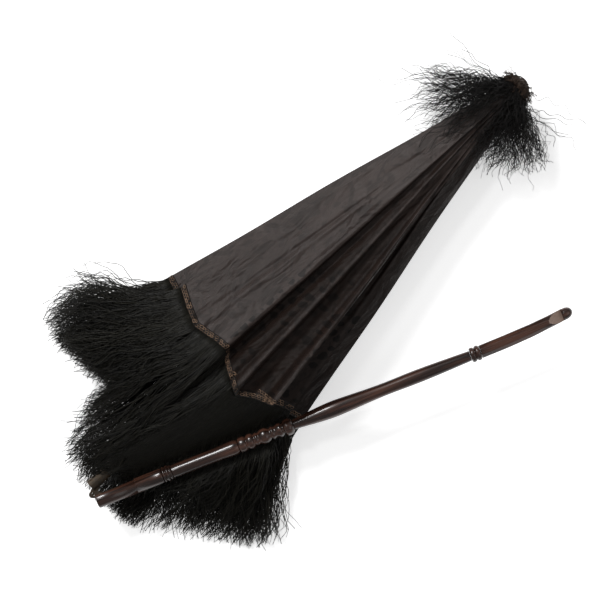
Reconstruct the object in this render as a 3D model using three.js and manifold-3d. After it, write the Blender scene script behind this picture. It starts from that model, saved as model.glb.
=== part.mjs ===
// Folding carriage parasol: closed silk cover with fringe, handle folded back beside it.
// Millimetres. +X runs along the stick from the tip to the hinge, +Y points to the folded handle, +Z is up.
// The origin is the middle of the tip's end face, so the stick's axis is the X axis.
import * as THREE from 'three';
import { mergeVertices } from 'three/addons/utils/BufferGeometryUtils.js';
import Module from 'manifold-3d';

const wasm = await Module();
wasm.setup();

// Driving dimensions
const GAP = 0.3;
const DEGREE = Math.PI / 180;
const STICK_RADIUS = 4.0;

const NOTCH_X = 18;
const NOTCH_HALF_LENGTH = 3;
const NOTCH_RADIUS = 7.2;
const RIB_PIVOT_RADIUS = 5.2;
const RIB_COUNT = 8;
const RIB_CHORD = 238;
const RIB_BOW = 5;
const RIB_RADIUS = 0.9;
const RIB_CLOSED_ANGLE = 3.5 * DEGREE;
const RIB_OPEN_ANGLE = 48 * DEGREE;
const RIB_SLOT_WIDTH = 2.6;
const RIB_SLOT_FLOOR = 3.9;
const FIRST_RIB_AZIMUTH = 22.5 * DEGREE;

const STRETCHER_LENGTH = 92;
const STRETCHER_JOINT_ON_RIB = 112;
const STRETCHER_BELOW_RIB = 2;
const STRETCHER_THICKNESS = 1.3;
const STRETCHER_WIDTH = 1.6;
const FORK_LENGTH = 32;
const FORK_INNER = 2.7;
const FORK_OUTER = 4.3;
const RUNNER_PIVOT_RADIUS = 7.2;

const RUNNER_BORE = 4.4;
const RUNNER_TUBE_RADIUS = 6.1;
const RUNNER_CROWN_RADIUS = 8.8;
const RUNNER_CROWN_HALF = 2.5;
const RUNNER_FRONT = 6;
const RUNNER_LENGTH = 36;
const RUNNER_KEYWAY_RADIUS = 5.5;
const RUNNER_BEAD_RADIUS = 7;
const RUNNER_BEAD = [3, 2, 0.5];
const STRETCHER_SLOT_WIDTH = 2.2;

const CATCH_LENGTH = 8;
const CATCH_WIDTH = 1.6;
const CATCH_FOOT = 1.2;
const CATCH_TOP = 5.2;
const CATCH_SLOT_WIDTH = 2.4;
const CATCH_SLOT_FLOOR = -0.6;
const CATCH_CLEARANCE = 0.8;

const HINGE_X = 371;
const HINGE_OFFSET = 4.8;
const HINGE_END_GAP = 2.7;
const HINGE_FERRULE_RADIUS = 3.95;
const HINGE_FERRULE_LENGTH = 14;
const KNUCKLE_RADIUS = 2.3;
const KNUCKLE_HOLE = 1.2;
const LUG_ROOT_DEPTH = 6;
const LUG_ROOT_LOW = 1;
const LUG_ROOT_HIGH = 2.6;
const LUG_NECK = [-2.2, 1.5];
const HINGE_CURVE_SEGMENTS = 8;
const STICK_LUG_HALF = 1.0;
const HANDLE_LUG_INNER = 1.3;
const HANDLE_LUG_OUTER = 2.3;
const PIN_RADIUS = 0.9;
const PIN_HALF_LENGTH = 2.8;
const FOLD_ANGLE = 158.2 * DEGREE;
const STICK_END = HINGE_X - HINGE_END_GAP - HINGE_FERRULE_LENGTH - GAP;

const SLEEVE_START = 1;
const SLEEVE_LENGTH = 43.5;
const SLEEVE_BORE = 4.25;
const SLEEVE_RADIUS = 4.75;
const SLEEVE_SLOT_LENGTH = 26;
const SLEEVE_SLOT_HALF = 3;
const SLEEVE_LIP = 0.8;
const SLEEVE_CHAMFER = 0.2;

const GRIP_RADIUS = 4.4;
const GRIP_CUT_X = 308;
const GRIP_CUT_Z = 2.4;
const GRIP_CUT_SLOPE = 0.3;
const GRIP_CUT_SIZE = [30, 30, 12];

const CLOTH_THICKNESS = 0.5;
const CLOTH_OUTSIDE_RIB = 1.5;
const CLOTH_RIB_INSET = 3.5;
const CLOTH_START = 0.3;
const HEM_X = 246;

const group = new THREE.Group();

// Colours

function finish(color, roughness, metalness) {
  return new THREE.MeshStandardMaterial({ color, roughness, metalness });
}

const silk = () => finish(0x2f2826, 0.6, 0);
const fringe = () => finish(0x17140f, 0.9, 0);
const wood = () => finish(0x3c2419, 0.3, 0);
const japannedSteel = () => finish(0x1c1a19, 0.4, 0.6);
const brass = () => finish(0x8a7a55, 0.45, 0.9);

// Helpers

function addPart(parent, name, geometry, material) {
  const mesh = new THREE.Mesh(geometry, material);
  mesh.name = name;
  parent.add(mesh);
  return mesh;
}

// A solid turned round the X axis from a profile of [x, radius] points.
function turned(profile, segments = 20) {
  const points = profile.map(([x, radius]) => new THREE.Vector2(radius, x));
  return new THREE.LatheGeometry(points, segments).rotateZ(-Math.PI / 2);
}

function toSolid(geometry) {
  const bare = geometry.clone();
  bare.deleteAttribute('normal');
  bare.deleteAttribute('uv');
  const merged = mergeVertices(bare, 1e-4);
  return new wasm.Manifold(new wasm.Mesh({
    numProp: 3,
    vertProperties: new Float32Array(merged.attributes.position.array),
    triVerts: new Uint32Array(merged.index.array),
  }));
}

function toGeometry(solid) {
  const { vertProperties, triVerts } = solid.getMesh();
  const geometry = new THREE.BufferGeometry();
  geometry.setAttribute('position', new THREE.BufferAttribute(vertProperties, 3));
  geometry.setIndex(new THREE.BufferAttribute(triVerts, 1));
  geometry.computeVertexNormals();
  return geometry;
}

function cut(geometry, tools) {
  return toGeometry(tools.reduce((solid, tool) => solid.subtract(toSolid(tool)), toSolid(geometry)));
}

function join(geometries) {
  return toGeometry(geometries.map(toSolid).reduce((whole, solid) => whole.add(solid)));
}

function block(low, high) {
  const size = high.map((value, axis) => value - low[axis]);
  const middle = high.map((value, axis) => (value + low[axis]) / 2);
  return new THREE.BoxGeometry(...size).translate(...middle);
}

function ribAzimuth(index) {
  return FIRST_RIB_AZIMUTH + (index * 2 * Math.PI) / RIB_COUNT;
}

// A point at x along the stick and a distance from it, in the plane of one rib.
function aroundStick(x, radius, azimuth) {
  return new THREE.Vector3(x, radius * Math.cos(azimuth), radius * Math.sin(azimuth));
}

// A point fixed to a rib: distance along its chord, height above the chord.
function onRibPlane(along, above, angle = RIB_CLOSED_ANGLE) {
  const cos = Math.cos(angle);
  const sin = Math.sin(angle);
  return { x: NOTCH_X + along * cos - above * sin, radius: RIB_PIVOT_RADIUS + along * sin + above * cos };
}

function ribBow(fraction) {
  return 4 * RIB_BOW * fraction * (1 - fraction);
}

function stretcherJoint(ribAngle) {
  const above = ribBow(STRETCHER_JOINT_ON_RIB / RIB_CHORD) - STRETCHER_BELOW_RIB;
  return onRibPlane(STRETCHER_JOINT_ON_RIB, above, ribAngle);
}

// Where the stretchers meet the runner for a rib angle
function runnerAt(joint) {
  return joint.x + Math.sqrt(STRETCHER_LENGTH ** 2 - (joint.radius - RUNNER_PIVOT_RADIUS) ** 2);
}

const ribJoint = stretcherJoint(RIB_CLOSED_ANGLE);
const RUNNER_X = runnerAt(ribJoint);
const RUNNER_OPEN_BACK = runnerAt(stretcherJoint(RIB_OPEN_ANGLE)) - RUNNER_FRONT + RUNNER_LENGTH;
const UPPER_CATCH_X = RUNNER_OPEN_BACK + CATCH_CLEARANCE + CATCH_LENGTH / 2;
const LOWER_CATCH_X = RUNNER_X - RUNNER_FRONT - CATCH_CLEARANCE - CATCH_LENGTH / 2;

// Tip, rosette and top notch

function buildTip() {
  addPart(group, 'tip_ferrule', turned([
    [0, 0], [0, 2.6], [0.8, 3.2], [5, 3.6], [9, 4.4], [13, 4.4], [14.7, 3.8], [14.7, 0],
  ]), wood());
  addPart(group, 'silk_rosette', turned([
    [3, 5], [2, 6.4], [4, 8.6], [7.5, 9], [9.6, 7.4], [9.6, 5], [3, 5],
  ]), silk());
}

function buildTopNotch() {
  const low = NOTCH_X - NOTCH_HALF_LENGTH;
  const high = NOTCH_X + NOTCH_HALF_LENGTH;
  const ring = turned([[low, 0], [low, NOTCH_RADIUS], [high, NOTCH_RADIUS], [high, 0]], 24);
  const slots = Array.from({ length: RIB_COUNT }, (_, index) => block(
    [low - 1, RIB_SLOT_FLOOR, -RIB_SLOT_WIDTH / 2],
    [high + 1, NOTCH_RADIUS + 1, RIB_SLOT_WIDTH / 2],
  ).rotateX(ribAzimuth(index)));
  addPart(group, 'top_notch', cut(ring, slots), brass());
}

// Stick, runner and spring catches

function catchSlot(middle) {
  const half = CATCH_LENGTH / 2 + GAP;
  return block(
    [middle - half, -CATCH_SLOT_WIDTH / 2, CATCH_SLOT_FLOOR],
    [middle + half, CATCH_SLOT_WIDTH / 2, STICK_RADIUS + 1],
  );
}

function buildStick() {
  const start = NOTCH_X + NOTCH_HALF_LENGTH + GAP;
  const rod = turned([[start, 0], [start, STICK_RADIUS], [STICK_END, STICK_RADIUS], [STICK_END, 0]]);
  const slots = [UPPER_CATCH_X, LOWER_CATCH_X].map(catchSlot);
  addPart(group, 'upper_stick', cut(rod, slots), wood());
}

// A wedge that slopes up towards its square end. direction +1 puts the square end at +X.
function buildCatch(name, middle, direction) {
  const half = CATCH_LENGTH / 2;
  const wedge = new THREE.Shape([
    new THREE.Vector2(-half, CATCH_FOOT),
    new THREE.Vector2(half, CATCH_FOOT),
    new THREE.Vector2(half, CATCH_TOP),
    new THREE.Vector2(-half, STICK_RADIUS - GAP),
  ]);
  const geometry = new THREE.ExtrudeGeometry(wedge, { depth: CATCH_WIDTH, bevelEnabled: false });
  geometry.translate(0, 0, -CATCH_WIDTH / 2).rotateX(Math.PI / 2);
  if (direction < 0) {
    geometry.rotateZ(Math.PI);
  }
  addPart(group, name, geometry, brass()).position.x = middle;
}

function buildRunner() {
  const front = RUNNER_X - RUNNER_FRONT;
  const back = front + RUNNER_LENGTH;
  const [beadFoot, beadFront, beadBack] = RUNNER_BEAD;
  const tube = turned([
    [front, RUNNER_BORE], [front, RUNNER_TUBE_RADIUS],
    [RUNNER_X - RUNNER_CROWN_HALF, RUNNER_TUBE_RADIUS], [RUNNER_X - RUNNER_CROWN_HALF, RUNNER_CROWN_RADIUS],
    [RUNNER_X + RUNNER_CROWN_HALF, RUNNER_CROWN_RADIUS], [RUNNER_X + RUNNER_CROWN_HALF, RUNNER_TUBE_RADIUS],
    [back - beadFoot, RUNNER_TUBE_RADIUS], [back - beadFront, RUNNER_BEAD_RADIUS],
    [back - beadBack, RUNNER_BEAD_RADIUS], [back, RUNNER_TUBE_RADIUS],
    [back, RUNNER_BORE], [front, RUNNER_BORE],
  ], 24);
  const keyway = block(
    [front - 1, -CATCH_SLOT_WIDTH / 2, 0],
    [back + 1, CATCH_SLOT_WIDTH / 2, RUNNER_KEYWAY_RADIUS],
  );
  const slots = Array.from({ length: RIB_COUNT }, (_, index) => block(
    [RUNNER_X - RUNNER_CROWN_HALF - 1, RUNNER_TUBE_RADIUS, -STRETCHER_SLOT_WIDTH / 2],
    [RUNNER_X + RUNNER_CROWN_HALF + 1, RUNNER_CROWN_RADIUS + 1, STRETCHER_SLOT_WIDTH / 2],
  ).rotateX(ribAzimuth(index)));
  addPart(group, 'runner', cut(tube, [keyway, ...slots]), brass());
}

// Ribs and stretchers

function circleShape(radius, sides) {
  const corners = Array.from({ length: sides }, (_, index) => {
    const angle = (index * 2 * Math.PI) / sides;
    return new THREE.Vector2(radius * Math.cos(angle), radius * Math.sin(angle));
  });
  return new THREE.Shape(corners);
}

function buildRib(index) {
  const steps = 10;
  const points = Array.from({ length: steps + 1 }, (_, step) => {
    const { x, radius } = onRibPlane((RIB_CHORD * step) / steps, ribBow(step / steps));
    return aroundStick(x, radius, ribAzimuth(index));
  });
  const geometry = new THREE.ExtrudeGeometry(circleShape(RIB_RADIUS, 8), {
    steps,
    bevelEnabled: false,
    extrudePath: new THREE.CatmullRomCurve3(points),
  });
  addPart(group, `rib_${index + 1}`, geometry, japannedSteel());
}

// Seen from outside: one bar from the runner that forks to straddle the rib.
function stretcherShape() {
  const half = STRETCHER_WIDTH / 2;
  const fork = STRETCHER_LENGTH - FORK_LENGTH;
  const outer = FORK_OUTER / 2;
  const inner = FORK_INNER / 2;
  return new THREE.Shape([
    [-0.6, -half], [fork - 5, -half], [fork, -outer], [STRETCHER_LENGTH + 0.8, -outer],
    [STRETCHER_LENGTH + 0.8, -inner], [fork + 1, -inner], [fork + 1, inner],
    [STRETCHER_LENGTH + 0.8, inner], [STRETCHER_LENGTH + 0.8, outer], [fork, outer],
    [fork - 5, half], [-0.6, half],
  ].map(([along, side]) => new THREE.Vector2(along, side)));
}

function buildStretcher(index) {
  const rise = Math.asin((ribJoint.radius - RUNNER_PIVOT_RADIUS) / STRETCHER_LENGTH);
  const geometry = new THREE.ExtrudeGeometry(stretcherShape(), {
    depth: STRETCHER_THICKNESS,
    bevelEnabled: false,
  });
  geometry.translate(0, 0, -STRETCHER_THICKNESS / 2);
  // The bar runs towards the tip, rising from the runner in the rib's plane.
  geometry.rotateY(Math.PI + rise);
  geometry.translate(RUNNER_X, 0, RUNNER_PIVOT_RADIUS);
  geometry.rotateX(ribAzimuth(index) - Math.PI / 2);
  addPart(group, `stretcher_${index + 1}`, geometry, japannedSteel());
}

// Silk cover. Each gore lies folded along one crease. start and hem are the crease's [y, z] beside the notch
// and at the hem, and bow is how far the crease rises in between. Crease i lies between rib i and rib i + 1.
const CREASES = [
  { start: [8, 4], hem: [47, 6], bow: [0, 0] },
  { start: [3, 9.5], hem: [36, 27], bow: [0, 5] },
  { start: [-6, 7], hem: [-52, 8], bow: [0, 0] },
  { start: [-8.5, -1], hem: [-62, -6], bow: [0, 0] },
  { start: [-7, -6], hem: [-50, -17], bow: [0, 0] },
  { start: [2, -9.5], hem: [22, -26], bow: [0, -5] },
  { start: [7, -6], hem: [52, -20.2], bow: [0, 0] },
  { start: [8.5, -1], hem: [57, -14.2], bow: [0, 0] },
];

// The two halves of each gore. reach is how far the half stops short of the crease. ribFringe and
// creaseFringe are where the fringe under the two ends of its hem finishes.
const HALF_GORES = [
  { rib: 1, crease: 0, reach: 1, ribFringe: [302, 12, 15], creaseFringe: [257, 45, 5] },
  { rib: 0, crease: 0, reach: 5, ribFringe: [262, 22, 9], creaseFringe: [254, 42, 4] },
  { rib: 2, crease: 1, reach: 1, ribFringe: [338, -8, 12], creaseFringe: [285, 30, 20] },
  { rib: 1, crease: 1, reach: 10, ribFringe: [256, 10.5, 19.6], creaseFringe: [255, 26.5, 21.8] },
  { rib: 2, crease: 2, reach: 1, ribFringe: [338, -12, 9], creaseFringe: [318, -80, 0] },
  { rib: 3, crease: 2, reach: 4, ribFringe: [300, -32, 4], creaseFringe: [300, -68, 0] },
  { rib: 3, crease: 3, reach: 1, ribFringe: [338, -42, -5], creaseFringe: [314, -99, -19] },
  { rib: 4, crease: 3, reach: 4, ribFringe: [338, -36, -13], creaseFringe: [312, -96, -24] },
  { rib: 4, crease: 4, reach: 4, ribFringe: [300, -28, -14], creaseFringe: [300, -66, -22] },
  { rib: 5, crease: 4, reach: 1, ribFringe: [343, -12, -19], creaseFringe: [325, -82, -26.7] },
  { rib: 5, crease: 5, reach: 1, ribFringe: [345, -9, -22.5], creaseFringe: [338, 38, -26.7] },
  { rib: 6, crease: 5, reach: 5, ribFringe: [290, 11, -21], creaseFringe: [290, 24, -24] },
  { rib: 6, crease: 6, reach: 1, ribFringe: [343, 16, -22], creaseFringe: [318, 100, -26.7] },
  { rib: 7, crease: 6, reach: 5, ribFringe: [320, 38, -21.5], creaseFringe: [312, 92, -25] },
  { rib: 7, crease: 7, reach: 6, ribFringe: [316, 34, -18.5], creaseFringe: [310, 94, -22.5] },
  { rib: 0, crease: 7, reach: 1, ribFringe: [304, 24, -15.5], creaseFringe: [312, 102, -20.3] },
];

function clothOnRib(rib, fraction) {
  const { x, radius } = onRibPlane(RIB_CHORD * fraction, ribBow(fraction) + CLOTH_OUTSIDE_RIB);
  return aroundStick(x, radius, ribAzimuth(rib));
}

function clothOnCrease(crease, fraction) {
  const { start, hem, bow } = CREASES[crease];
  const rise = 4 * fraction * (1 - fraction);
  const [y, z] = start.map((value, axis) => value + (hem[axis] - value) * fraction + bow[axis] * rise);
  return new THREE.Vector3(NOTCH_X + (HEM_X - NOTCH_X) * fraction, y, z);
}

// The two edges of a half gore at a distance from the apex: 0 to 1 is silk, 1 to 2 is its fringe.
function halfGoreEdges({ rib, crease, reach, ribFringe, creaseFringe }, distance) {
  const silkPart = Math.min(distance, 1);
  const ribEdge = clothOnRib(rib, silkPart);
  const creaseEdge = clothOnCrease(crease, silkPart);
  const across = creaseEdge.clone().sub(ribEdge);
  const unit = across.clone().normalize();
  ribEdge.addScaledVector(unit, Math.min(CLOTH_RIB_INSET, across.length() / 3));
  creaseEdge.addScaledVector(unit, -Math.min(reach, across.length() / 3));
  if (distance > 1) {
    ribEdge.lerp(new THREE.Vector3(...ribFringe), distance - 1);
    creaseEdge.lerp(new THREE.Vector3(...creaseFringe), distance - 1);
  }
  return [ribEdge, creaseEdge];
}

// A box's two large faces are split along crossed diagonals. On a twisted plate both must be split alike.
function alignBackFace(geometry) {
  const { index, groups } = geometry;
  const back = groups[5];
  for (let first = back.start; first < back.start + back.count; first += 6) {
    const [a, b, d, c] = [0, 1, 2, 4].map((offset) => index.getX(first + offset));
    [a, b, c, a, c, d].forEach((corner, offset) => index.setX(first + offset, corner));
  }
}

// A thin curved plate: a box whose length runs down the gore, with its corners moved onto the cloth.
function buildHalfGore(half) {
  const steps = [CLOTH_START, 0.55, 0.8, 1, 1.5, 2];
  const geometry = new THREE.BoxGeometry(steps.length - 1, 1, 1, steps.length - 1, 1, 1);
  const position = geometry.attributes.position;
  const middle = (steps.length - 1) / 2;
  for (let vertex = 0; vertex < position.count; vertex += 1) {
    const distance = steps[Math.round(position.getX(vertex) + middle)];
    const [ribEdge, creaseEdge] = halfGoreEdges(half, distance);
    const [ribBefore, creaseBefore] = halfGoreEdges(half, distance - 0.01);
    const across = creaseEdge.clone().sub(ribEdge);
    const down = ribEdge.clone().add(creaseEdge).sub(ribBefore).sub(creaseBefore);
    const normal = new THREE.Vector3().crossVectors(down, across).normalize();
    const point = ribEdge.addScaledVector(across, position.getY(vertex) + 0.5);
    point.addScaledVector(normal, position.getZ(vertex) * CLOTH_THICKNESS);
    position.setXYZ(vertex, point.x, point.y, point.z);
  }
  alignBackFace(geometry);
  const side = half.rib === half.crease ? 'a' : 'b';
  addPart(group, `gore_${half.crease + 1}_half_${side}`, geometry, silk());
}

// Top fringe: two bunches of short threads that fall from the rosette to each side of the stick.
// Each entry is one thread line from its root beside the tip to its end.
const TOP_FRINGE_LEFT = [
  [[11.5, -1, -10.5], [60, -4, -27]],
  [[11.5, -8, -7], [54, -34, -27]],
  [[11.5, -10.5, 0], [50, -46, -10]],
  [[11.5, -8, 7], [56, -34, 14]],
  [[11.5, -1, 10.5], [60, -6, 26]],
];
const TOP_FRINGE_RIGHT = [
  [[11.5, 1, 10.5], [60, 6, 26]],
  [[11.5, 8, 7], [56, 30, 14]],
  [[11.5, 10.5, 0], [44, 46, -10]],
  [[11.5, 8, -7], [54, 30, -27]],
  [[11.5, 1, -10.5], [60, 4, -27]],
];
const TOP_FRINGE_THICKNESS = 1.5;

function buildTopFringe(name, lines) {
  const count = lines.length - 1;
  const geometry = new THREE.BoxGeometry(1, count, 1, 3, count, 1);
  const position = geometry.attributes.position;
  for (let vertex = 0; vertex < position.count; vertex += 1) {
    const [root, end] = lines[Math.round(position.getY(vertex) + count / 2)];
    const point = new THREE.Vector3(...root).lerp(new THREE.Vector3(...end), position.getX(vertex) + 0.5);
    const inward = 1 - ((0.5 - position.getZ(vertex)) * TOP_FRINGE_THICKNESS) / Math.hypot(point.y, point.z);
    const floor = root[2] < 0 && end[2] <= -27;
    const height = floor && position.getX(vertex) > 0.4 ? point.z : point.z * inward;
    position.setXYZ(vertex, point.x, point.y * inward, height);
  }
  alignBackFace(geometry);
  addPart(group, name, geometry, fringe());
}

// Folding hinge. Both halves share this lug: a tongue from the ferrule out to the pivot.
// Local frame: the ferrule's axis is X, the pivot is at x = 0, y = HINGE_OFFSET, and the rod lies at x < 0.
function hingeLug(low, high) {
  const lug = new THREE.Shape();
  lug.moveTo(-HINGE_END_GAP - LUG_ROOT_DEPTH, LUG_ROOT_LOW);
  lug.lineTo(...LUG_NECK);
  lug.lineTo(KNUCKLE_RADIUS * Math.SQRT1_2, HINGE_OFFSET - KNUCKLE_RADIUS * Math.SQRT1_2);
  lug.absarc(0, HINGE_OFFSET, KNUCKLE_RADIUS, -Math.PI / 4, (3 * Math.PI) / 4);
  lug.lineTo(-HINGE_END_GAP - LUG_ROOT_DEPTH, LUG_ROOT_HIGH);
  lug.holes.push(new THREE.Path().absarc(0, HINGE_OFFSET, KNUCKLE_HOLE, 0, 2 * Math.PI, true));
  const geometry = new THREE.ExtrudeGeometry(lug, {
    depth: high - low,
    bevelEnabled: false,
    curveSegments: HINGE_CURVE_SEGMENTS,
  });
  return geometry.translate(0, 0, low);
}

function hingeFerrule() {
  const end = -HINGE_END_GAP;
  const start = end - HINGE_FERRULE_LENGTH;
  return turned([[start, 0], [start, HINGE_FERRULE_RADIUS], [end, HINGE_FERRULE_RADIUS], [end, 0]], 20);
}

function buildStickHinge() {
  const geometry = join([hingeFerrule(), hingeLug(-STICK_LUG_HALF, STICK_LUG_HALF)]);
  addPart(group, 'stick_hinge', geometry, brass()).position.x = HINGE_X;
}

// The handle's frame: X runs from the hinge to the grip's tip, and the pivot is at y = HINGE_OFFSET.
const handle = new THREE.Group();
const pivot = new THREE.Vector3(HINGE_X, HINGE_OFFSET, 0);
const toPivot = new THREE.Vector3(0, HINGE_OFFSET, 0).applyAxisAngle(new THREE.Vector3(0, 0, 1), FOLD_ANGLE);
handle.rotation.z = FOLD_ANGLE;
handle.position.copy(pivot).sub(toPivot);
group.add(handle);

function buildHandleHinge() {
  const lugs = [
    hingeLug(HANDLE_LUG_INNER, HANDLE_LUG_OUTER),
    hingeLug(-HANDLE_LUG_OUTER, -HANDLE_LUG_INNER),
  ];
  const geometry = join([hingeFerrule(), ...lugs]);
  // The handle's half is the stick's half turned end for end, with its lugs on the same side.
  geometry.rotateX(Math.PI).rotateZ(Math.PI);
  addPart(handle, 'handle_hinge', geometry, brass());
  const pin = new THREE.CylinderGeometry(PIN_RADIUS, PIN_RADIUS, 2 * PIN_HALF_LENGTH, 12);
  pin.rotateX(Math.PI / 2);
  addPart(handle, 'hinge_pin', pin, brass()).position.y = HINGE_OFFSET;
}

// The sleeve slides over the hinge to lock it straight. Its slot lets the knuckle stand out.
function buildLockSleeve() {
  const end = SLEEVE_START + SLEEVE_LENGTH;
  const tube = turned([
    [SLEEVE_START, SLEEVE_BORE], [SLEEVE_START, SLEEVE_RADIUS - SLEEVE_CHAMFER],
    [SLEEVE_START + SLEEVE_LIP, SLEEVE_RADIUS],
    [end, SLEEVE_RADIUS], [end, SLEEVE_BORE], [SLEEVE_START, SLEEVE_BORE],
  ], 24);
  const slot = block(
    [SLEEVE_START - 1, 0, -SLEEVE_SLOT_HALF],
    [SLEEVE_START + SLEEVE_SLOT_LENGTH, SLEEVE_RADIUS + 1, SLEEVE_SLOT_HALF],
  );
  addPart(handle, 'lock_sleeve', cut(tube, [slot]), wood());
}

// Handle, turned in sections that screw together at the rings
const CORE_START = HINGE_END_GAP + HINGE_FERRULE_LENGTH + GAP;
const HANDLE_SECTIONS = [
  ['handle_core', [[CORE_START, 3.95], [44.7, 3.95]]],
  ['ring_collar', [
    [45, 4.9], [46.1, 4.9], [46.6, 4.2], [47.5, 5], [48.5, 5], [49, 4.2], [50.1, 4.6], [50.7, 4],
  ]],
  ['handle_barrel', [[51, 4], [54.5, 4.2], [78.5, 4.1], [88.5, 4.5], [92.5, 4.7], [94.7, 4.2]]],
  ['turned_beads', [
    [95, 3.8], [97, 4.9], [99.5, 4.9], [100.5, 3.8], [101.5, 4.8], [104.5, 4.8], [105.5, 3.6],
    [107, 4.3], [108.5, 3.5], [110.5, 4.6], [113, 5], [115, 4.2], [116, 3.6], [117.5, 4.3], [119, 3.5],
    [121, 4.2], [123, 4.5], [124.5, 3.5], [126.5, 5.2], [129.5, 5.2], [131.2, 3.6],
  ]],
  ['handle_spindle', [
    [131.5, 3.2], [136, 3.5], [148, 4.7], [158, 5.3], [168, 4.9], [184, 4.1], [196, 3.9],
    [212, 4.3], [230, 3.9], [248.9, 3.2],
  ]],
  ['double_ring', [
    [249.2, 3.4], [250, 4.6], [251.7, 4.6], [252.5, 3.7], [253.3, 4.6], [255, 4.6], [255.7, 3.8],
  ]],
];

function buildHandleSections() {
  for (const [name, outline] of HANDLE_SECTIONS) {
    const first = outline[0][0];
    const last = outline[outline.length - 1][0];
    addPart(handle, name, turned([[first, 0], ...outline, [last, 0]]), wood());
  }
}

// The grip end is eight-sided, bends slightly, and ends in a round tip past a slanting cut.
const GRIP_PATH = [[256, 0], [273, 0.3], [290, 1], [304, 2.2], [312, 3], [318, 3.4]];

function gripCut() {
  const block = new THREE.BoxGeometry(...GRIP_CUT_SIZE).translate(0, 0, GRIP_CUT_SIZE[2] / 2);
  return block.rotateY(-GRIP_CUT_SLOPE).translate(GRIP_CUT_X, 0, GRIP_CUT_Z);
}

function buildGripEnd() {
  const path = new THREE.CatmullRomCurve3(GRIP_PATH.map(([x, side]) => new THREE.Vector3(x, side, 0)));
  const bar = new THREE.ExtrudeGeometry(circleShape(GRIP_RADIUS, 8), {
    steps: 8,
    bevelEnabled: false,
    extrudePath: path,
  });
  addPart(handle, 'grip_end', cut(bar, [gripCut()]), wood());
}

buildTip();
buildTopNotch();
buildStick();
buildCatch('upper_spring_catch', UPPER_CATCH_X, -1);
buildCatch('lower_spring_catch', LOWER_CATCH_X, 1);
buildRunner();
for (let index = 0; index < RIB_COUNT; index += 1) {
  buildRib(index);
  buildStretcher(index);
}
HALF_GORES.forEach(buildHalfGore);
buildTopFringe('top_fringe_left', TOP_FRINGE_LEFT);
buildTopFringe('top_fringe_right', TOP_FRINGE_RIGHT);
buildStickHinge();
buildHandleHinge();
buildLockSleeve();
buildHandleSections();
buildGripEnd();

export default group;
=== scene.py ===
# Folding carriage parasol: draped silk damask cover, looped braid, deep fringe, turned rosewood handle.
# Lengths are in millimetres in the code and become metres when a mesh is made.
import math

import bpy
import numpy as np
from mathutils import Matrix, Vector


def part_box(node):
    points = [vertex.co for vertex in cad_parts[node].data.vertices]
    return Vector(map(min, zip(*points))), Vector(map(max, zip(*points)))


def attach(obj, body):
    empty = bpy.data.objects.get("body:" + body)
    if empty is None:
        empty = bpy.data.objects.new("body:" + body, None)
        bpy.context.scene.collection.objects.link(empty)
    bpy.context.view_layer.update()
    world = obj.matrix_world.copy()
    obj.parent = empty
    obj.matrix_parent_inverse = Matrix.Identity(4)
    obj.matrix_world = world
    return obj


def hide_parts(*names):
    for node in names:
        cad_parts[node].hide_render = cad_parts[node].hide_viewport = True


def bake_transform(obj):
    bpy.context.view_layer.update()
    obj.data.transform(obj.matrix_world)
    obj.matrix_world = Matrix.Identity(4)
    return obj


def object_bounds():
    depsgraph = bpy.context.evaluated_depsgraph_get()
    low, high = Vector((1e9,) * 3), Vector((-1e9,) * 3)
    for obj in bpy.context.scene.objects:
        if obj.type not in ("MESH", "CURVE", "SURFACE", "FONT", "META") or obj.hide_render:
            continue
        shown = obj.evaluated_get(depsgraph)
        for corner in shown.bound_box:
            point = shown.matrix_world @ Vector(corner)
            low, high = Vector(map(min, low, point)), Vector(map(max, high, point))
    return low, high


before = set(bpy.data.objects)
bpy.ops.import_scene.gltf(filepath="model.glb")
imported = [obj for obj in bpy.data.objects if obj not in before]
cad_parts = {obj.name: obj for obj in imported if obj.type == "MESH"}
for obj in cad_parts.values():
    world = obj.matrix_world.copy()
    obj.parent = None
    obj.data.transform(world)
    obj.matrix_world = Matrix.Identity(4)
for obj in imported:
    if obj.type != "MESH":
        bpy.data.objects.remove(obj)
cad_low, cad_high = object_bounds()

MM = 0.001
DEGREE = math.pi / 180
TURN = 6.28            # a full turn, for random phases
FLOOR_Z = cad_low.z / MM
rng = np.random.default_rng(1857)

# ---------------------------------------------------------------- sizes shared with the CAD frame
NOTCH_X, RIB_PIVOT_RADIUS, RIB_CHORD, RIB_BOW = 18.0, 5.2, 238.0, 5.0
RIB_ANGLE = 3.5 * DEGREE
CLOTH_OUTSIDE_RIB = 1.5
HEM_X = 246.0
HINGE_X, HINGE_OFFSET, FOLD_ANGLE = 371.0, 4.8, 158.2 * DEGREE
FOLD_COS, FOLD_SIN = math.cos(FOLD_ANGLE), math.sin(FOLD_ANGLE)
HANDLE_ORIGIN = np.array([HINGE_X + HINGE_OFFSET * FOLD_SIN, HINGE_OFFSET - HINGE_OFFSET * FOLD_COS, 0.0])
HANDLE_AXIS = np.array([FOLD_COS, FOLD_SIN, 0.0])
HANDLE_SIDE = np.array([-FOLD_SIN, FOLD_COS, 0.0])


# ---------------------------------------------------------------- camera, floor and lights
def make_camera():
    data = bpy.data.cameras.new("camera")
    camera = bpy.data.objects.new("camera", data)
    bpy.context.collection.objects.link(camera)
    data.lens = 110
    span = 372 * MM
    right = Vector((-0.7306, 0.6828, 0)).normalized()
    up = Vector((-0.6828, -0.7306, 0)).normalized()
    middle = Vector((195, 4.4, 0)) * MM
    height = span * data.lens / data.sensor_width
    camera.matrix_world = Matrix((
        (right.x, up.x, 0, middle.x), (right.y, up.y, 0, middle.y), (0, 0, 1, height), (0, 0, 0, 1)))
    data.clip_start, data.clip_end = 0.01, 20
    bpy.context.scene.camera = camera


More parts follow.
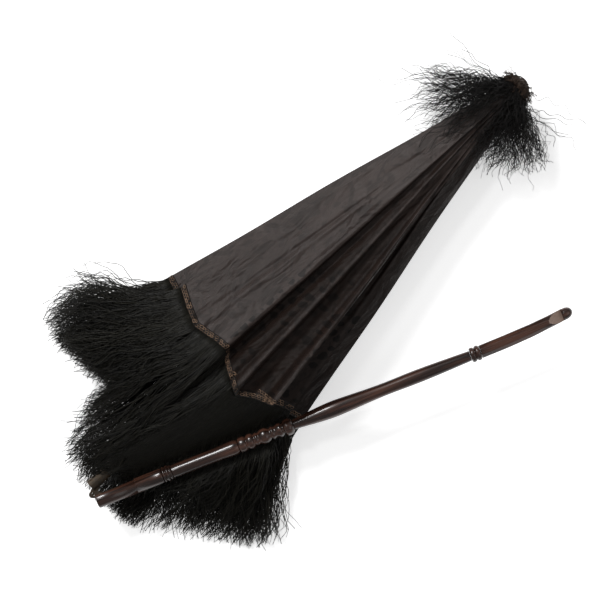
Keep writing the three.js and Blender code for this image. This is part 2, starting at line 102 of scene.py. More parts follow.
def area_light(name, location, target, size, power, color=(1, 1, 1)):
    data = bpy.data.lights.new(name, "AREA")
    data.shape, data.size, data.energy, data.color = "SQUARE", size, power, color
    light = bpy.data.objects.new(name, data)
    bpy.context.collection.objects.link(light)
    light.location = location
    light.rotation_euler = (Vector(target) - Vector(location)).to_track_quat("-Z", "Y").to_euler()


def make_stage():
    floor_mesh = bpy.data.meshes.new("floor")
    half, level = 6.0, (FLOOR_Z - 0.3) * MM
    corners = [(-half, -half, level), (half, -half, level), (half, half, level), (-half, half, level)]
    floor_mesh.from_pydata(corners, [], [(0, 1, 2, 3)])
    floor = bpy.data.objects.new("floor", floor_mesh)
    bpy.context.collection.objects.link(floor)
    material = bpy.data.materials.new("floor_paper")
    material.use_nodes = True
    shader = material.node_tree.nodes["Principled BSDF"]
    shader.inputs["Base Color"].default_value = (0.96, 0.96, 0.96, 1)
    shader.inputs["Roughness"].default_value = 0.9
    shader.inputs["Specular IOR Level"].default_value = 0.1
    shader.inputs["Emission Color"].default_value = (1, 1, 1, 1)
    shader.inputs["Emission Strength"].default_value = 0.5
    floor_mesh.materials.append(material)
    area_light("key", (0.0, -1.6, 1.5), (0.18, 0, 0), 0.5, 34)
    area_light("fill", (-0.9, 1.3, 1.9), (0.18, 0, 0), 1.6, 7)
    area_light("glint", (0.35, -0.75, 1.35), (0.25, 0.04, 0), 0.16, 2.6)
    world = bpy.data.worlds.new("studio")
    bpy.context.scene.world = world
    world.use_nodes = True
    background = world.node_tree.nodes["Background"]
    background.inputs["Color"].default_value = (1, 1, 1, 1)
    background.inputs["Strength"].default_value = 0.34
    bpy.context.scene.view_settings.view_transform = "Standard"


make_camera()
make_stage()


# ---------------------------------------------------------------- material helpers
class Nodes:
    """Short calls for building one material's node tree."""

    def __init__(self, name):
        self.material = bpy.data.materials.new(name)
        self.material.use_nodes = True
        self.tree = self.material.node_tree
        self.shader = self.tree.nodes["Principled BSDF"]

    def add(self, kind, **settings):
        node = self.tree.nodes.new(kind)
        for key, value in settings.items():
            setattr(node, key, value)
        return node

    def put(self, socket, value):
        if isinstance(value, bpy.types.NodeSocket):
            self.tree.links.new(value, socket)
        else:
            socket.default_value = value

    def coords(self, which="Object", scale=(1, 1, 1), angle=0.0):
        """Coordinates turned about Z so that X runs along angle, then scaled."""
        source = self.add("ShaderNodeTexCoord").outputs[which]
        mapping = self.add("ShaderNodeMapping", vector_type="TEXTURE")
        self.put(mapping.inputs["Vector"], source)
        self.put(mapping.inputs["Scale"], tuple(1 / value for value in scale))
        self.put(mapping.inputs["Rotation"], (0, 0, angle))
        return mapping.outputs["Vector"]

    def noise(self, vector, scale, detail=4, roughness=0.5, distortion=0.0):
        node = self.add("ShaderNodeTexNoise")
        for key, value in (("Vector", vector), ("Scale", scale), ("Detail", detail),
                           ("Roughness", roughness), ("Distortion", distortion)):
            self.put(node.inputs[key], value)
        return node.outputs["Fac"]

    def wave(self, vector, scale, direction="X", distortion=0.0):
        node = self.add("ShaderNodeTexWave", bands_direction=direction)
        self.put(node.inputs["Vector"], vector)
        self.put(node.inputs["Scale"], scale)
        self.put(node.inputs["Distortion"], distortion)
        return node.outputs["Fac"]

    def voronoi(self, vector, scale, randomness=1.0):
        node = self.add("ShaderNodeTexVoronoi")
        self.put(node.inputs["Vector"], vector)
        self.put(node.inputs["Scale"], scale)
        self.put(node.inputs["Randomness"], randomness)
        return node.outputs["Distance"]

    def math(self, operation, a, b=0.0, clamp=False):
        node = self.add("ShaderNodeMath", operation=operation, use_clamp=clamp)
        self.put(node.inputs[0], a)
        self.put(node.inputs[1], b)
        return node.outputs[0]

    def levels(self, value, low, high):
        """0 at low and 1 at high, smooth between."""
        node = self.add("ShaderNodeMapRange", interpolation_type="SMOOTHSTEP")
        for key, number in (("Value", value), ("From Min", low), ("From Max", high)):
            self.put(node.inputs[key], number)
        return node.outputs["Result"]

    def mix(self, factor, a, b):
        node = self.add("ShaderNodeMix", data_type="RGBA")
        self.put(node.inputs["Factor"], factor)
        self.put(node.inputs[6], (*a, 1) if isinstance(a, tuple) and len(a) == 3 else a)
        self.put(node.inputs[7], (*b, 1) if isinstance(b, tuple) and len(b) == 3 else b)
        return node.outputs[2]

    def bump(self, height, strength, distance, under=None):
        node = self.add("ShaderNodeBump")
        self.put(node.inputs["Height"], height)
        self.put(node.inputs["Strength"], strength)
        self.put(node.inputs["Distance"], distance)
        if under is not None:
            self.put(node.inputs["Normal"], under)
        return node.outputs["Normal"]

    def attribute(self, name):
        return self.add("ShaderNodeAttribute", attribute_name=name).outputs["Fac"]

    def finish(self, color, roughness, normal=None, **sockets):
        self.put(self.shader.inputs["Base Color"], color)
        self.put(self.shader.inputs["Roughness"], roughness)
        if normal is not None:
            self.put(self.shader.inputs["Normal"], normal)
        for key, value in sockets.items():
            self.put(self.shader.inputs[key.replace("_", " ")], value)
        return self.material


def silk_material():
    """Damask silk. The UVs are millimetres: x across from the rib, y down from the top."""
    n = Nodes("silk_damask")
    uv = n.coords("UV")
    split = n.add("ShaderNodeSeparateXYZ")
    n.put(split.inputs[0], uv)
    down = split.outputs["Y"]
    # rows of rounded spots, each a little out of true, strongest on the pleats marked by the attribute
    shifted = n.add("ShaderNodeVectorMath", operation="ADD")
    wobble = n.add("ShaderNodeTexNoise")
    n.put(wobble.inputs["Vector"], uv)
    n.put(wobble.inputs["Scale"], 0.16)
    wide = n.add("ShaderNodeVectorMath", operation="SCALE")
    n.put(wide.inputs[0], wobble.outputs["Color"])
    wide.inputs["Scale"].default_value = 5.0
    n.put(shifted.inputs[0], uv)
    n.put(shifted.inputs[1], wide.outputs[0])
    spots = n.voronoi(shifted.outputs[0], 0.125, 0.22)
    spot_mask = n.math("SUBTRACT", 1.0, n.levels(spots, 0.31, 0.40))
    near_hem = n.levels(down, 95, 150)
    patches = n.levels(n.noise(uv, 0.026, 3), 0.38, 0.52)
    figure = n.math("MULTIPLY", n.math("MULTIPLY", spot_mask, near_hem), patches)
    figure = n.math("MULTIPLY", figure, n.attribute("shade"))
    # broad leafy figures, long down the gore
    leaf_noise = n.noise(n.coords("UV", (1.0, 0.55, 1)), 0.085, 3, 0.5, 2.2)
    leaves = n.math("MULTIPLY", n.levels(leaf_noise, 0.50, 0.58), 0.40)
    damask = n.math("MAXIMUM", figure, leaves)
    cloudy = n.levels(n.noise(uv, 0.018, 5, 0.6), 0.3, 0.75)
    ground = n.mix(cloudy, (0.0215, 0.0137, 0.0114), (0.0345, 0.0232, 0.0198))
    streak = n.noise(n.coords("UV", (0.5, 0.06, 1)), 0.8, 5, 0.65, 0.5)
    worn_amount = n.math("MULTIPLY", n.levels(streak, 0.50, 0.72), 0.22)
    worn = n.mix(worn_amount, ground, (0.060, 0.0430, 0.0368))
    # painted light and shade: where faded is low the silk takes a darker painted-shade colour, where it is
    # high it keeps its lit colour
    painted_lit_ground = n.mix(n.attribute("faded"), (0.0105, 0.0066, 0.0052), worn)
    color = n.mix(n.math("MULTIPLY", damask, 0.85), painted_lit_ground, (0.0022, 0.0017, 0.0015))
    weave = n.math("ADD", n.wave(uv, 2.3, "X"), n.wave(uv, 2.3, "Y"))
    creases = n.noise(n.coords("UV", (0.55, 0.11, 1)), 0.55, 4, 0.55, 0.6)
    normal = n.bump(creases, 0.20, 0.0020)
    rumple = n.noise(n.coords("UV", (1, 0.45, 1)), 0.07, 3, 0.5, 0.8)
    normal = n.bump(rumple, 0.6, 0.0060, normal)
    normal = n.bump(damask, 0.25, 0.0003, normal)
    normal = n.bump(weave, 0.22, 0.0002, normal)
    rough = n.math("ADD", n.math("MULTIPLY", damask, 0.24), 0.38)
    # the gloss and sheen follow the same painted light and shade, stronger on the lit panel and ridges
    gloss = n.math("ADD", n.math("MULTIPLY", n.attribute("faded"), 0.22), 0.07)
    sheen = n.math("MULTIPLY", n.attribute("faded"), 0.10)
    return n.finish(color, rough, normal, Sheen_Weight=sheen, Sheen_Roughness=0.3,
                    Sheen_Tint=(0.80, 0.64, 0.56, 1), Specular_IOR_Level=gloss)


def fringe_material(name, dark, light, roughness=0.62):
    n = Nodes(name)
    shade = n.attribute("shade")
    fleck = n.noise(n.coords("Object"), 900, 2)
    amount = n.math("ADD", n.math("MULTIPLY", shade, 0.8), n.math("MULTIPLY", fleck, 0.25))
    color = n.mix(amount, dark, light)
    twist = n.wave(n.coords("Object"), 900, "DIAGONAL")
    return n.finish(color, roughness, n.bump(twist, 0.3, 0.0001), Specular_IOR_Level=0.18)


def gimp_material():
    n = Nodes("gimp_braid")
    shade = n.attribute("shade")
    fleck = n.noise(n.coords("Object"), 1400, 3)
    amount = n.math("MULTIPLY", shade, n.math("ADD", n.math("MULTIPLY", fleck, 0.7), 0.65))
    color = n.mix(amount, (0.0045, 0.0032, 0.0027), (0.27, 0.17, 0.11))
    twist = n.wave(n.coords("Object"), 1500, "DIAGONAL")
    return n.finish(color, 0.5, n.bump(twist, 0.4, 0.0001), Specular_IOR_Level=0.22)


def wood_material(name, angle, dark, light):
    """Polished rosewood with its grain along the turned axis."""
    n = Nodes(name)
    along = n.coords("Object", (22, 320, 320), angle)
    lines = n.noise(along, 1.0, 6, 0.62, 0.4)
    bands = n.noise(n.coords("Object", (9, 95, 95), angle), 1.0, 3, 0.5, 1.2)
    color = n.mix(n.levels(lines, 0.36, 0.66), dark, light)
    color = n.mix(n.math("MULTIPLY", n.levels(bands, 0.5, 0.68), 0.55), color, (0.0042, 0.0026, 0.0022))
    pores = n.noise(n.coords("Object", (70, 1400, 1400), angle), 1.0, 2)
    rough = n.math("ADD", n.math("MULTIPLY", pores, 0.20), 0.16)
    return n.finish(color, rough, n.bump(pores, 0.12, 0.0002), Coat_Weight=0.22, Coat_Roughness=0.08,
                    Specular_IOR_Level=0.36)


def cut_wood_material():
    n = Nodes("bare_wood")
    rings = n.noise(n.coords("Object", (300, 900, 600)), 1.0, 4)
    color = n.mix(rings, (0.16, 0.105, 0.08), (0.30, 0.22, 0.18))
    return n.finish(color, 0.55, n.bump(rings, 0.3, 0.0002))


def metal_material(name, bright, dull, metallic, scale=180):
    n = Nodes(name)
    mottle = n.noise(n.coords("Object"), scale, 6, 0.65)
    amount = n.levels(mottle, 0.4, 0.68)
    color = n.mix(amount, bright, dull)
    scratch = n.noise(n.coords("Object", (60, 1600, 1600)), 1.0, 3)
    rough = n.math("ADD", n.math("MULTIPLY", amount, 0.3), 0.26)
    return n.finish(color, rough, n.bump(scratch, 0.12, 0.0002), Metallic=metallic)


SILK = silk_material()
FRINGE = fringe_material("fringe_silk", (0.0016, 0.0015, 0.0012), (0.0185, 0.0170, 0.0120), 0.46)
TOP_FRINGE = fringe_material("crimped_silk", (0.0018, 0.0015, 0.0014), (0.0160, 0.0140, 0.0130), 0.46)
ROSETTE = fringe_material("rosette_silk", (0.0095, 0.0060, 0.0045), (0.060, 0.038, 0.026), 0.65)
GIMP = gimp_material()
STICK_WOOD = wood_material("stick_rosewood", 0.0, (0.012, 0.0055, 0.004), (0.048, 0.021, 0.013))
HANDLE_WOOD = wood_material("handle_rosewood", FOLD_ANGLE, (0.0110, 0.0050, 0.0037), (0.068, 0.0285, 0.0180))
BARE_WOOD = cut_wood_material()
BRASS = metal_material("aged_brass", (0.38, 0.30, 0.16), (0.12, 0.11, 0.075), 0.9)
TARNISHED = metal_material("tarnished_brass", (0.060, 0.041, 0.025), (0.026, 0.022, 0.017), 0.6)
STEEL = metal_material("japanned_steel", (0.018, 0.016, 0.016), (0.05, 0.045, 0.042), 0.4, 260)


# ---------------------------------------------------------------- mesh helpers
def make_mesh(name, points, faces, material, smooth=True, shade=None, faded=None, uv=None):
    """points are millimetres; faces is an array with one row of corners per face."""
    mesh = bpy.data.meshes.new(name)
    mesh.from_pydata((np.asarray(points) * MM).tolist(), [], np.asarray(faces).tolist()
                     if isinstance(faces, np.ndarray) else faces)
    mesh.materials.append(material)
    if smooth:
        mesh.polygons.foreach_set("use_smooth", [True] * len(mesh.polygons))
    # shade is a per-point tone; faded holds the silk's painted light and shade
    for key, values in (("shade", shade), ("faded", faded)):
        if values is not None:
            attribute = mesh.attributes.new(key, "FLOAT", "POINT")
            attribute.data.foreach_set("value", np.asarray(values, np.float32))
    if uv is not None:
        corners = np.empty(len(mesh.loops), np.int32)
        mesh.loops.foreach_get("vertex_index", corners)
        layer = mesh.uv_layers.new(name="UVMap")
        layer.data.foreach_set("uv", np.asarray(uv, np.float32)[corners].ravel())
    mesh.update()
    obj = bpy.data.objects.new(name, mesh)
    bpy.context.collection.objects.link(obj)
    return obj


def ring_faces(rings, around, first=0):
    """Quads that join rings of points, each ring closed on itself."""
    faces = []
    for ring in range(rings - 1):
        a = first + ring * around
        b = a + around
        faces += [[a + k, a + (k + 1) % around, b + (k + 1) % around, b + k] for k in range(around)]
    return faces


def grid_faces(rows, columns):
    index = np.arange(rows * columns).reshape(rows, columns)
    return np.stack([index[:-1, :-1], index[:-1, 1:], index[1:, 1:], index[1:, :-1]], axis=-1).reshape(-1, 4)


def unit(vectors):
    return vectors / np.maximum(np.linalg.norm(vectors, axis=-1, keepdims=True), 1e-9)


def tubes(paths, radius, sides=3):
    """Closed tubes along paths (count, steps, 3), radius (count, steps). Returns points and faces."""
    count, steps, _ = paths.shape
    tangent = unit(np.gradient(paths, axis=1))
    seed = unit(rng.normal(size=(count, 1, 3)))
    first = unit(np.cross(tangent, seed))
    second = np.cross(tangent, first)
    angles = np.arange(sides) * 2 * math.pi / sides
    rings = (paths[:, :, None] + radius[:, :, None, None] * (
        first[:, :, None] * np.cos(angles)[None, None, :, None]
        + second[:, :, None] * np.sin(angles)[None, None, :, None]))
    points = rings.reshape(-1, 3)
    base = (np.arange(count) * steps * sides)[:, None, None]
    ring = (np.arange(steps - 1) * sides)[None, :, None]
    side = np.arange(sides)[None, None, :]
    after = (side + 1) % sides
    a, b = base + ring + side, base + ring + after
    quads = np.stack([a, b, b + sides, a + sides], axis=-1).reshape(-1, 4)
    faces = quads.tolist()
    starts = (np.arange(count) * steps * sides)
    caps = [[int(s) + k for k in reversed(range(sides))] for s in starts]
    last = (steps - 1) * sides
    caps += [[int(s) + last + k for k in range(sides)] for s in starts]
    return points, faces + caps


def smoothstep(value):
    t = np.clip(value, 0, 1)
    return t * t * (3 - 2 * t)


# ---------------------------------------------------------------- the cover's shape
# Each crease: [y, z] at the notch, [y, z] at the hem, and how far its middle bows up.
CREASE_LINES = [
    ([8, 4], [47, 6], 0), ([3, 9.5], [36, 27], 2), ([-6, 7], [-52, 8], 0),
    ([-8.5, -1], [-62, -6], 0), ([-7, -6], [-50, -17], 0), ([2, -9.5], [22, -26], 0),
    ([7, -6], [52, -20.2], 0), ([8.5, -1], [57, -14.2], 0),
]


def azimuth(rib):
    return (22.5 + 45 * rib) * DEGREE


def rib_point(rib, fraction, above=CLOTH_OUTSIDE_RIB):
    along = RIB_CHORD * fraction
    height = 4 * RIB_BOW * fraction * (1 - fraction) + above
    x = NOTCH_X + along * math.cos(RIB_ANGLE) - height * math.sin(RIB_ANGLE)
    radius = RIB_PIVOT_RADIUS + along * math.sin(RIB_ANGLE) + height * math.cos(RIB_ANGLE)
    return np.stack([x, radius * math.cos(azimuth(rib)), radius * math.sin(azimuth(rib))], axis=-1)


def crease_point(crease, fraction):
    start, hem, bow = CREASE_LINES[crease]
    rise = 4 * fraction * (1 - fraction)
    y = start[0] + (hem[0] - start[0]) * fraction
    z = start[1] + (hem[1] - start[1]) * fraction + bow * rise
    return np.stack([NOTCH_X + (HEM_X - NOTCH_X) * fraction, y, z], axis=-1)


# Pleats on the right, as (depth, edge, far side, where the rise starts, bend), and lesser valleys and ridges,
# as (depth, middle, left width, right width, bend). Places across are millimetres at the hem.
PLEATS = ((9.5, -4.2, 16.0, 0.35, 0.5), (8.5, 17.5, 35.0, 0.70, 0.7), (6.0, 36.5, 46.0, 0.5))
DIPS = ((1.3, 24.5, 1.2, 1.6, -0.8), (1.3, -29.5, 1.6, 2.6, 0.8), (-1.0, -25.0, 2.4, 2.4, 0.8),
        (0.9, -42.0, 3.0, 4.0, 1.5), (-1.2, -6.5, 3.0, 1.6))
PLEAT_WALL = 1.6                    # width of the steep side
DEEPENING = 0.6                     # share of the depth reached at the foot of the steep side
RIBS_UNDER_THE_TOP = (1, 2)
OVER_RIB = 2.3                      # height of the silk above a rib's axis
RIB_SADDLE = 0.13                   # how fast the silk falls off a rib
SPREAD_RIGHT = 3.6                  # how far the outer right pleat slips out at the hem
TIED_RADIUS = 7.9                   # inside radius of the silk round the notch
LONGEST, SCALLOP = 1.035, 0.035     # the hem beside a rib, and how far it rises by the crease, in rib lengths
CLOTH_FROM = -0.025                 # the silk starts this share of the rib above its pivot
ACROSS, DOWN = 52, 80               # points of each half's mesh
BAND_MARGIN, BAND_LEAST, BAND_MOST = 0.2, 1.5, 9.0


def settle(points):
    """The valleys and folds of the gathered cover. The upper layers move together; the lower ones stay."""
    p = np.array(points, float)
    x, y, z = p[..., 0], p[..., 1].copy(), p[..., 2].copy()
    fraction = np.clip((x - NOTCH_X) / (HEM_X - NOTCH_X), 0.0, 1.15)
    spread = np.maximum(fraction, 0.10)
    q = y / spread
    upper = smoothstep((z / spread - 9) / 9)

    def dip(middle, left, right, bend=0.0):
        """A valley whose two walls have their own widths."""
        away = q - middle - bend * np.sin(fraction * 5.0)
        return np.exp(-(away / np.where(away < 0, left, right)) ** 2)

    def pleat(edge, far, rise, bend=0.0):
        """Steep under the edge of the fold that lies over it, then rising late to the next ridge."""
        away = q - edge - bend * np.sin(fraction * 4.0)
        across = away / (far - edge)
        deepening = DEEPENING + (1 - DEEPENING) * smoothstep(across / 0.65)
        return smoothstep(away / PLEAT_WALL) * deepening * (1 - smoothstep((across - rise) / (1 - rise)))

    drop = sum(depth * pleat(*shape) for depth, *shape in PLEATS)
    drop += sum(depth * dip(*shape) for depth, *shape in DIPS)
    gentle = 0.45 * np.sin(x / 17.0 + q / 9.0) + 0.35 * np.sin(x / 29.0 - q / 6.5 + 1.0)
    left = smoothstep((-q - 12) / 20)
    p[..., 2] = z - upper * np.maximum(fraction, 0.16) * (drop + gentle * (1 + left))
    # a rib under the silk holds it up
    for rib in RIBS_UNDER_THE_TOP:
        ridge = rib_point(rib, np.clip((x - NOTCH_X) / (RIB_CHORD * math.cos(RIB_ANGLE)), 0, 1), OVER_RIB)
        level = ridge[..., 2] - RIB_SADDLE * (y - ridge[..., 1]) ** 2
        p[..., 2] = np.where(upper > 0.05, np.maximum(p[..., 2], np.minimum(level, z)), p[..., 2])
    p[..., 1] = y + fraction * SPREAD_RIGHT * smoothstep((q - 20) / 16)
    y = p[..., 1].copy()
    # the long edges waver a little
    waver = 2.2 * np.sin(x / 24.0 + np.sign(q) * 0.7)
    p[..., 1] = y + fraction * (1 - fraction) * waver * np.clip(abs(q) / 40, 0, 1)
    # round the notch the cloth is tied outside the brass
    radius = np.maximum(np.hypot(p[..., 1], p[..., 2]), 0.1)
    least = TIED_RADIUS * (1 - smoothstep((x - NOTCH_X - 5) / 10))
    push = np.maximum(least / radius, 1.0)[..., None]
    p[..., 1:] = p[..., 1:] * push
    return p


# Painted light and shade on the silk: painted highlight strips along the pleat ridges as (middle, width,
# strength), and the painted shade level down in the folds.
RIDGE_PAINTED_HIGHLIGHTS = ((16.0, 1.7, 0.60), (37.5, 1.6, 0.55), (50.0, 1.4, 0.30))
FOLD_PAINTED_SHADE = 0.07


def paint_light_and_shade(points):
    """Painted light and shade: 1 on the lit open panel, low for painted shade in the folds, and higher again
    for painted highlights on their ridges and towards the tip.
    """
    x, y, z = points[..., 0], points[..., 1], points[..., 2]
    fraction = np.clip((x - NOTCH_X) / (HEM_X - NOTCH_X), 0.1, 1.1)
    q = y / fraction
    folds = FOLD_PAINTED_SHADE + 0.30 * (1 - np.clip(fraction, 0, 1))
    for middle, width, strength in RIDGE_PAINTED_HIGHLIGHTS:
        folds = folds + strength * np.exp(-((q - middle) / width) ** 2) * (z > 0)
    return np.clip(folds + (1 - folds) * smoothstep((-q - 3.4) / 2.0), 0, 1)


# The hem of the halves that lie on top hangs unevenly: [across from the rib, x] along it.
HEM_LINES = {
    "gore_3_half_a": ([0, 0.09, 0.45, 0.75, 1], [249.5, 250, 253.5, 248.5, 243.5]),
    "gore_2_half_b": ([0, 0.10, 0.19, 0.42, 0.61, 0.80, 1], [249.5, 249, 254.4, 259.5, 263.5, 256.5, 250.5]),
    "gore_2_half_a": ([0, 0.5, 1], [258, 255, 250.5]),
    "gore_3_half_b": ([0, 0.5, 1], [258, 250, 243.5]),
}
SPOTTED = {"gore_1_half_a": 1.0, "gore_1_half_b": 1.0, "gore_2_half_b": 0.85, "gore_2_half_a": 1.0}
PLAIN_SPOTS = 0.22


class HalfGore:
    """Half of one silk gore, from its rib to its crease."""

    def __init__(self, rib, crease):
        self.rib, self.crease = rib, crease
        self.name = f"gore_{crease + 1}_half_{'a' if rib == crease else 'b'}"
        self.number = crease * 2 + (rib != crease)
        hem_rib = rib_point(rib, np.array(1.0))
        hem_crease = crease_point(crease, np.array(1.0))
        top = np.array([NOTCH_X, 0, 0])
        along = unit(hem_rib - rib_point(rib, np.array(0.0)))
        side = hem_crease - hem_rib
        self.side = unit(side - along * (side @ along))
        normal = unit(np.cross(along, self.side))
        outward = 1.0 if normal @ (hem_rib - top) > 0 else -1.0
        self.normal = normal * outward
        self.start, self.end = self.turning_band(along)

    def turning_band(self, along):
        """Where the cloth turns from rib to crease. It misses the rib seam, which stays shut when opened."""
        rib_seam = self.surface(np.zeros(24), np.linspace(0.04, 1.03, 24))
        crease_seam = self.surface(np.ones(24), np.linspace(0.2, 1.0, 24))
        widest = None
        for tilt in np.linspace(-1.5, 1.5, 31):
            for lean in np.linspace(-0.12, 0.12, 9):
                direction = unit(self.side + tilt * self.normal + lean * along)
                room = (crease_seam @ direction).min() - (rib_seam @ direction).max()
                if widest is None or room > widest[0]:
                    widest = (room, direction)
        room, direction = widest
        start = (rib_seam @ direction).max() + BAND_MARGIN
        width = min(max(room - 2 * BAND_MARGIN, BAND_LEAST), BAND_MOST)
        return direction * start, direction * (start + width)

    def across_steps(self, count):
        """Positions from rib to crease, closer together beside the rib where the cloth unfolds."""
        t = np.linspace(0, 1, count)
        return 0.45 * t ** 2.2 + 0.55 * t

    def flat(self, across, fraction):
        rib_edge = rib_point(self.rib, fraction)
        crease_edge = crease_point(self.crease, fraction)
        return rib_edge + (crease_edge - rib_edge) * across[..., None]

    def hem_fraction(self, across):
        """The hem is scalloped: longest at the rib, shortest at the crease."""
        if self.name in HEM_LINES:
            places, reaches = HEM_LINES[self.name]
            x = np.interp(across, places, reaches)
            rib_run = RIB_CHORD * math.cos(RIB_ANGLE)
            return (x - NOTCH_X) / (rib_run + (HEM_X - NOTCH_X - rib_run) * across)
        return LONGEST - SCALLOP * np.sin(across * math.pi / 2) ** 0.8

    def surface(self, across, fraction):
        return settle(self.flat(across, fraction))

    def build(self):
        across = self.across_steps(ACROSS)
        down = np.linspace(CLOTH_FROM, 1, DOWN)
        grid_u, grid_v = np.meshgrid(across, down)
        fraction = grid_v * self.hem_fraction(grid_u)
        points = self.surface(grid_u, fraction)
        width = np.linalg.norm(crease_point(self.crease, down) - rib_point(self.rib, down), axis=-1)
        uv = np.stack([grid_u * width[:, None] + 71.3 * self.number, fraction * RIB_CHORD], axis=-1)
        # the silk carries its painted light and shade as a point attribute
        self.cloth = make_mesh(f"silk_{self.name}", points.reshape(-1, 3), grid_faces(DOWN, ACROSS), SILK,
                               shade=np.full(points.size // 3, SPOTTED.get(self.name, PLAIN_SPOTS)),
                               faded=paint_light_and_shade(points).ravel(), uv=uv.reshape(-1, 2))
        length = RIB_CHORD * LONGEST * MM
        corner = points[:-1, :-1]
        cells = np.linalg.norm(np.cross(points[1:, :-1] - corner, points[:-1, 1:] - corner), axis=-1)
        self.area = float(cells.sum()) * MM * MM
        self.flat_size = (2 * self.area / length, length)
        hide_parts(self.name)
        self.join(self.cloth)

    def join(self, piece):
        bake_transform(piece)


HALVES = [HalfGore(rib, crease) for rib, crease in (
    (1, 0), (0, 0), (2, 1), (1, 1), (2, 2), (3, 2), (3, 3), (4, 3),
    (4, 4), (5, 4), (5, 5), (6, 5), (6, 6), (7, 6), (7, 7), (0, 7))]


# ---------------------------------------------------------------- hem fringe
# Where the threads of each half finish: beside the rib and beside the crease, as [x, y, z].
THREAD_ENDS = {
    "gore_1_half_b": ([336, 10, 10], [326, 62, -17]), "gore_1_half_a": ([344, 28, -12], [320, 78, -19]),
    "gore_2_half_b": ([366, -17, 10], [352, 15, 8]), "gore_2_half_a": ([362, 1, 9], [340, 17, 7]),
    "gore_3_half_a": ([356, -15, 9], [300, -99, 0]), "gore_3_half_b": ([332, -38, 3], [314, -74, -4]),
    "gore_4_half_a": ([336, -48, -6], [304, -101, -15]), "gore_4_half_b": ([362, -36, -14], [315, -97, -24]),
    "gore_5_half_a": ([352, -30, -15], [322, -72, -24]), "gore_5_half_b": ([374, -14, -22], [330, -82, -26]),
    "gore_6_half_a": ([374, -8, -23], [372, 36, -26]), "gore_6_half_b": ([370, 8, -21], [368, 32, -25]),
    "gore_7_half_a": ([372, 24, -22], [322, 103, -26]), "gore_7_half_b": ([364, 36, -20], [318, 97, -24]),
    "gore_8_half_a": ([356, 38, -18], [318, 97, -22]), "gore_8_half_b": ([350, 40, -14], [316, 101, -19]),
}
# How far the mass of threads reaches along x for each y
OUTLINE_Y = [-110, -99, -92, -78, -60, -46, -40, -36, -33, -20, 0, 20, 37, 60, 80, 104, 112]
OUTLINE_X = [300, 318, 326, 324, 320, 314, 322, 345, 364, 376, 374, 373, 371, 352, 338, 318, 300]
THREADS_PER_HALF = 340
# Halves whose fringe shows have more threads.
FULL_FRINGES = {"gore_2_half_b": 620, "gore_3_half_a": 560, "gore_1_half_b": 420, "gore_5_half_b": 620,
                "gore_6_half_a": 620, "gore_4_half_b": 480}
THREAD_STEPS = 15
THREAD_RADIUS = 0.33
LOCKS = 17
HANDLE_CLEARANCE = 6.2


def keep_clear(points):
    """Threads dive under the folded handle, pass round the stick and stop at the floor."""
    x, y, z = points[..., 0], points[..., 1], points[..., 2]
    offset = (x - HANDLE_ORIGIN[0]) * HANDLE_SIDE[0] + (y - HANDLE_ORIGIN[1]) * HANDLE_SIDE[1]
    ceiling = -HANDLE_CLEARANCE + np.maximum(np.abs(offset) - 5.5, 0) * 0.95
    beyond = smoothstep((x - HINGE_X - 2) / 6)
    z = np.where(beyond < 1, np.minimum(z, ceiling + beyond * 40), z)
    near_stick = smoothstep(1 - (np.abs(y) - 3.5) / 5) * (x < HINGE_X - 16)
    z = np.where(z >= 0, np.maximum(z, 5.0 * near_stick), np.minimum(z, -5.0 * near_stick))
    points[..., 2] = np.maximum(z, FLOOR_Z + 0.4)
    return points


def hem_threads(half):
    count, steps = FULL_FRINGES.get(half.name, THREADS_PER_HALF), THREAD_STEPS
    u = np.clip((np.arange(count) + rng.uniform(-0.6, 0.6, count)) / count, 0.005, 0.995)
    root = half.surface(u, half.hem_fraction(u))
    above = half.surface(u, half.hem_fraction(u) * 0.97)
    down = unit(root - above)
    rib_end, crease_end = (np.array(end, float) for end in THREAD_ENDS[half.name])
    lock = np.minimum((u * LOCKS).astype(int), LOCKS - 1)
    gathered = (u * 0.55 + 0.45 * (lock + 0.5) / LOCKS)[:, None] ** 0.9
    end = rib_end * (1 - gathered) + crease_end * gathered
    lock_shift, lock_reach, lock_bend = rng.normal(size=(3, LOCKS))
    end[:, 1] += lock_shift[lock] * 3.6 + rng.normal(size=count) * 3.8
    end[:, 0] += lock_reach[lock] * 5.0 + rng.normal(size=count) * 3.0 - rng.exponential(6.0, count)
    end[:, 2] += rng.normal(size=count) * 1.6
    limit = np.interp(end[:, 1], OUTLINE_Y, OUTLINE_X) + rng.normal(size=count) * 1.8
    over = np.maximum(end[:, 0] - limit, 0)[:, None]
    direction = end - root
    end = end - direction * (over / np.maximum(direction[:, :1], 20))
    s = np.linspace(0, 1, steps)[None, :, None]
    length = np.linalg.norm(end - root, axis=-1, keepdims=True)
    first = root + down * length * 0.30
    flow = unit(end - root)
    swirl = np.cross(flow, [0, 0, 1.0])
    bend = (lock_bend[lock] + rng.normal(size=count) * 0.45)[:, None]
    second = end - flow * length * 0.30 + swirl * bend * 6.5
    r, a, b, e = root[:, None], first[:, None], second[:, None], end[:, None]
    paths = r * (1 - s) ** 3 + 3 * a * s * (1 - s) ** 2 + 3 * b * s ** 2 * (1 - s) + e * s ** 3
    side = swirl[:, None]
    lift = np.array([0, 0, 1.0])
    t = s[..., 0]
    phase = (rng.uniform(0, TURN, LOCKS)[lock] + rng.normal(size=count) * 0.5)[:, None]
    own = rng.uniform(0, TURN, (count, 1))
    wave = (2.2 * np.sin(t * 12 + phase) + 1.2 * np.sin(t * 23 + own)) * t ** 0.45
    stray = rng.uniform(0, 1, (count, 1)) ** 4 * 10.0 * np.sin(t * 4 + own) * t
    stray += 2.4 * np.sin(t * 10 + own * 2.3) * smoothstep((t - 0.55) / 0.45)
    heave = 0.8 * np.sin(t * 17 + own * 1.7) * t
    paths = paths + side * (wave + stray)[..., None] + lift * heave[..., None]
    return keep_clear(paths), u


